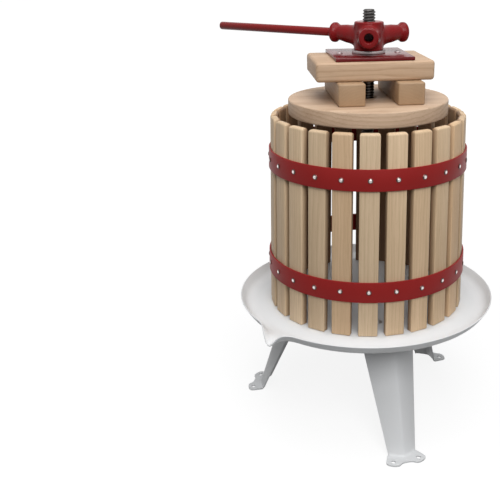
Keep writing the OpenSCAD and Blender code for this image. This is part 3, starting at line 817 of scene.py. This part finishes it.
block = bore_out(board(block_w, block_d, block_t, block_arris, 6), stack_bore, block_t)
lay_grain(block, "xyz", pith=(-0.02, -0.06), tone=0.93, warmth=0.99, start=6.3)
apply_place(block, spin_z(stack_turn) @ shift(0, 0, block_z))
settle(block, "upper_board", "press_stack", board_wood, ["top_block"])


# Pressure plate
# A square of red enamelled steel spreads the nut's load on the block. Two screws hold it, and a
# plated washer on it lets the nut turn.
plate_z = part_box("pressure_plate")[0][2]
plate_w, plate_t = 110 * MM, 5 * MM
slip_r, slip_t = 24 * MM, 4 * MM
pan_at, pan_r, pan_h, pan_shank_r = 42 * MM, 4.5 * MM, 2 * MM, 1.9 * MM
slot_w, slot_t, slot_depth = 4.4 * MM, 0.9 * MM, 1.2 * MM
plate_red = painted("plate_enamel", (0.135, 0.008, 0.009, 1), roughness=0.22, mottle=0.10, peel=260,
                    depth=0.00006, Specular_IOR_Level=0.3)
dull_zinc = plated("dull_zinc", (0.42, 0.37, 0.37), roughness=0.5, scratch=0.00002)
plate = bore_out(board(plate_w, plate_w, plate_t, 0.8 * MM, 3), stack_bore, plate_t)
apply_place(plate, spin_z(stack_turn) @ shift(0, 0, plate_z))
settle(plate, "bearing_plate", "press_stack", plate_red, ["pressure_plate"])
pans = []
for side in (-1, 1):
    top = plate_t + pan_h
    pan = lathe([(0, -14 * MM), (pan_shank_r, -12 * MM), (pan_shank_r, plate_t), (pan_r, plate_t),
                 (4.3 * MM, plate_t + MM), (3.4 * MM, top - 0.3 * MM), (2 * MM, top), (0, top)], 32)
    for turn in (20, 110):
        slot = board(slot_w, slot_t, 2 * MM, 0.1 * MM, 1)
        combine(pan, apply_place(slot, spin_z(turn) @ shift(0, 0, top - slot_depth)))
    pans.append(apply_place(pan, spin_z(stack_turn) @ shift(side * pan_at, 0, plate_z)))
settle(join(*pans), "board_screws", "press_stack", dull_zinc, ["plate_screws"])
slip = washer(slip_r, slip_t, plate_z + plate_t, screw_r + 0.3 * MM, 0.8 * MM)
settle(slip, "slip_washer", "press_stack", dull_zinc, ["thrust_washer"])


# Nut
# One iron casting: a threaded hub with three arms, each ending in a beaded socket for the bar. The
# arms flow into the hub in wide fillets, and the whole is dipped in red enamel.
nut_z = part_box("capstan_nut")[0][2]
nut_turn = 40.4
arm_turns = (0, 120, 240)
hub_r, hub_h, arm_z = 21 * MM, 39 * MM, 21.5 * MM
arm_reach, arm_root, arm_tip = 60 * MM, 13 * MM, 10.8 * MM
collar_r, collar_w, collar_flare = 14 * MM, 6 * MM, 7 * MM
socket_r, socket_end = 6.3 * MM, 20 * MM
root_flare, root_drop = 3.5 * MM, 2.6 * MM
root_from, root_to, root_fade = 15 * MM, 36 * MM, 4 * MM
hub_foot_ease, hub_top_ease = 0.6 * MM, 1.2 * MM
lay = Matrix.Rotation(math.pi / 2, 4, "X")


def share(gap, span):
    """How far a gap reaches across a span, held between 0 and 1."""
    return min(1.0, max(0.0, gap / span))


def arm_place(turn):
    """The place of an arm that was turned upright: laid flat at its height on the hub."""
    return spin_z(turn) @ shift(0, 0, arm_z) @ lay


nut = lathe([(0, 0), (hub_r - hub_foot_ease, 0), (hub_r, hub_foot_ease), (hub_r, hub_h - hub_top_ease),
             (hub_r - hub_top_ease, hub_h), (0, hub_h)], 96)
for turn in arm_turns:
    flare = [(arm_tip + (collar_r - arm_tip) * (i / 6) ** 2,
              arm_reach - collar_w - collar_flare * (1 - i / 6)) for i in range(7)]
    fillet = [(arm_root - 0.05 * MM * i + root_flare * (1 - i / 8) ** 2, hub_r - 3 * MM + 2.2 * MM * i)
              for i in range(9)]
    arm = lathe([(0, 2 * MM), (arm_root, 2 * MM), *fillet, *flare, (collar_r, arm_reach - 2 * MM),
                 (collar_r - 0.6 * MM, arm_reach - 0.6 * MM), (collar_r - 2 * MM, arm_reach),
                 (0, arm_reach)], 64)
    for v in arm.data.vertices:
        v.co.y -= root_drop * share(46 * MM - v.co.z, 26 * MM)
    combine(nut, apply_place(arm, arm_place(turn)), "UNION")

# The arms melt into the hub: the casting is smoothed a lot at their roots and a little elsewhere.
modify(nut, "REMESH", mode="VOXEL", voxel_size=0.8 * MM)
roots = nut.vertex_groups.new(name="roots")
for v in nut.data.vertices:
    away = math.hypot(v.co.x, v.co.y)
    near = share(root_to - away, 2 * root_fade) * share(away - root_from, root_fade)
    near *= min(share(hub_h - 3 * MM - v.co.z, root_fade), share(v.co.z - 2 * MM, root_fade))
    roots.add([v.index], near, "REPLACE")
modify(nut, "SMOOTH", factor=0.5, iterations=150, vertex_group="roots")
modify(nut, "SMOOTH", factor=0.5, iterations=4)
nut.vertex_groups.clear()
bore_out(nut, screw_r + 0.08 * MM, hub_h, vertices=64)
for turn in arm_turns:
    combine(nut, apply_place(rod(socket_r, arm_reach, (0, 0, socket_end)), arm_place(turn)))
    mouth = rod(socket_r - 0.5 * MM, 2.5 * MM, (0, 0, arm_reach - 1.5 * MM), r_end=socket_r + 2 * MM)
    combine(nut, apply_place(mouth, arm_place(turn)))
close_up(nut, 0.01 * MM)
apply_place(nut, spin_z(nut_turn) @ shift(0, 0, nut_z))
cast_red = painted("red_casting", (0.195, 0.009, 0.010, 1), roughness=0.22, mottle=0.12, peel=160,
                   depth=0.00012, Specular_IOR_Level=0.13)
settle(nut, "armed_nut", "nut", cast_red, ["capstan_nut"], 50)


# Handle bar
# A plain round steel bar in the same red. It lies loose in one socket and is swapped to the next
# as the nut comes round.
bar_r, bar_len = 6 * MM, 250 * MM
bar_ease, bar_corner = MM, 0.3 * MM
red_enamel = painted("red_enamel", (0.20, 0.011, 0.011, 1), roughness=0.26, mottle=0.10, peel=260,
                     depth=0.00006, Specular_IOR_Level=0.14)
bar = lathe([(0, 0), (bar_r - bar_ease, 0), (bar_r - bar_corner, bar_corner), (bar_r, bar_ease),
             (bar_r, bar_len - bar_ease), (bar_r - bar_corner, bar_len - bar_corner),
             (bar_r - bar_ease, bar_len), (0, bar_len)], 64)
apply_place(bar, shift(0, 0, nut_z) @ arm_place(nut_turn - 120) @ shift(0, 0, socket_end + MM))
settle(bar, "turning_bar", "bar", red_enamel, ["handle_bar"])


# Studio
# A white floor and a white sky, a wide soft lamp overhead and one in front, a dark card on the floor
# that only gloss shows, and the camera where the photograph was taken from.
def unlit_rays(tree):
    """1 for the rays that show the white backdrop, to the camera and in gloss and glass, and 0 for light."""
    rays = tree.nodes.new("ShaderNodeLightPath")
    mirrored = math_node(tree, "MAXIMUM", rays.outputs["Is Glossy Ray"], rays.outputs["Is Transmission Ray"])
    return math_node(tree, "MAXIMUM", rays.outputs["Is Camera Ray"], mirrored)


def white_ground():
    """A grey floor that looks white and still takes the shadow, and whiter where the lamps don't reach."""
    material, tree, bsdf = shader("white_ground", Base_Color=(0.18, 0.18, 0.18, 1), Roughness=1.0,
                                  Specular_IOR_Level=0.0)
    place = tree.nodes.new("ShaderNodeTexCoord").outputs["Object"]
    away = node_in(tree, "VectorMath", _operation="LENGTH", in0=place).outputs["Value"]
    glow = remap(tree, away, low=0.3, high=2.0, to_low=0.865, to_high=1.0)
    bsdf.inputs["Emission Color"].default_value = (1, 1, 1, 1)
    tree.links.new(math_node(tree, "MULTIPLY", unlit_rays(tree), glow), bsdf.inputs["Emission Strength"])
    return material


floor_r, floor_drop = 12, 0.0005
clear()
bpy.ops.mesh.primitive_circle_add(vertices=64, radius=floor_r, fill_type="NGON", location=(0, 0, -floor_drop))
floor = made()
bpy.ops.object.transform_apply(location=True)
floor.name = "floor"
floor.data.materials.append(white_ground())

world = bpy.data.worlds.new("sky")
bpy.context.scene.world = world
world.use_nodes = True
sky = world.node_tree.nodes["Background"]
sky_level = 0.22
world.node_tree.links.new(
    math_node(world.node_tree, "MULTIPLY_ADD", unlit_rays(world.node_tree), 1 - sky_level, sky_level),
    sky.inputs["Strength"])
sky.inputs["Color"].default_value = (1, 1, 1, 1)


def lamp(name, place, aim, size, energy):
    """A square soft lamp aimed at a point."""
    light = bpy.data.lights.new(name, "AREA")
    light.size, light.energy = size, energy
    obj = bpy.data.objects.new(name, light)
    bpy.context.collection.objects.link(obj)
    obj.location = place
    obj.rotation_euler = (Vector(aim) - Vector(place)).to_track_quat("-Z", "Y").to_euler()


view_turn = math.radians(40.4)
toward = Vector((math.sin(view_turn), -math.cos(view_turn), 0))
aside_left = Vector((-math.cos(view_turn), -math.sin(view_turn), 0))
middle = (0, 0, 0.3)
lamp("top_lamp", toward * 0.3 + Vector((0, 0, 2.2)), middle, size=1.6, energy=23)
lamp("front_lamp", toward * 1.7 - aside_left * 0.25 + Vector((0, 0, 1.75)), middle, size=1.2, energy=29)

clear()
bpy.ops.mesh.primitive_plane_add(size=1)
card = made()
card.scale = (5, 3, 1)
card_away, card_z = 2.2, 0.002
card_place = shift(toward.x * card_away, toward.y * card_away, card_z)
apply_place(card, card_place @ Matrix.Rotation(view_turn, 4, "Z"))
card.name = "dark_card"
card.data.materials.append(shader("dark_card", Base_Color=(0.03, 0.03, 0.03, 1), Roughness=1.0)[0])
card.visible_camera = card.visible_diffuse = card.visible_shadow = card.visible_transmission = False

focal_px, frame_px = 766.3, 500
camera_back, camera_up = 1123.7 * MM, 704.8 * MM
pitch_down, yaw, roll = 0.3744, -0.0572, -0.0071
forward = Vector((math.sin(yaw) * math.cos(pitch_down), math.cos(yaw) * math.cos(pitch_down),
                  -math.sin(pitch_down)))
right = Vector((math.cos(yaw), -math.sin(yaw), 0))
upward = right.cross(forward)
level, tipped = math.cos(roll), math.sin(roll)
camera_x, camera_y = right * level + upward * tipped, upward * level - right * tipped
camera = bpy.data.objects.new("camera", bpy.data.cameras.new("camera"))
bpy.context.collection.objects.link(camera)
camera.matrix_world = Matrix.Rotation(view_turn, 4, "Z") @ Matrix((
    (camera_x.x, camera_y.x, -forward.x, 0),
    (camera_x.y, camera_y.y, -forward.y, -camera_back),
    (camera_x.z, camera_y.z, -forward.z, camera_up),
    (0, 0, 0, 1),
))
sensor_w = 36
camera.data.sensor_width = sensor_w
camera.data.lens = focal_px / frame_px * sensor_w
camera.data.shift_x = -0.15
bpy.context.scene.camera = camera
bpy.context.scene.view_settings.view_transform = "Standard"
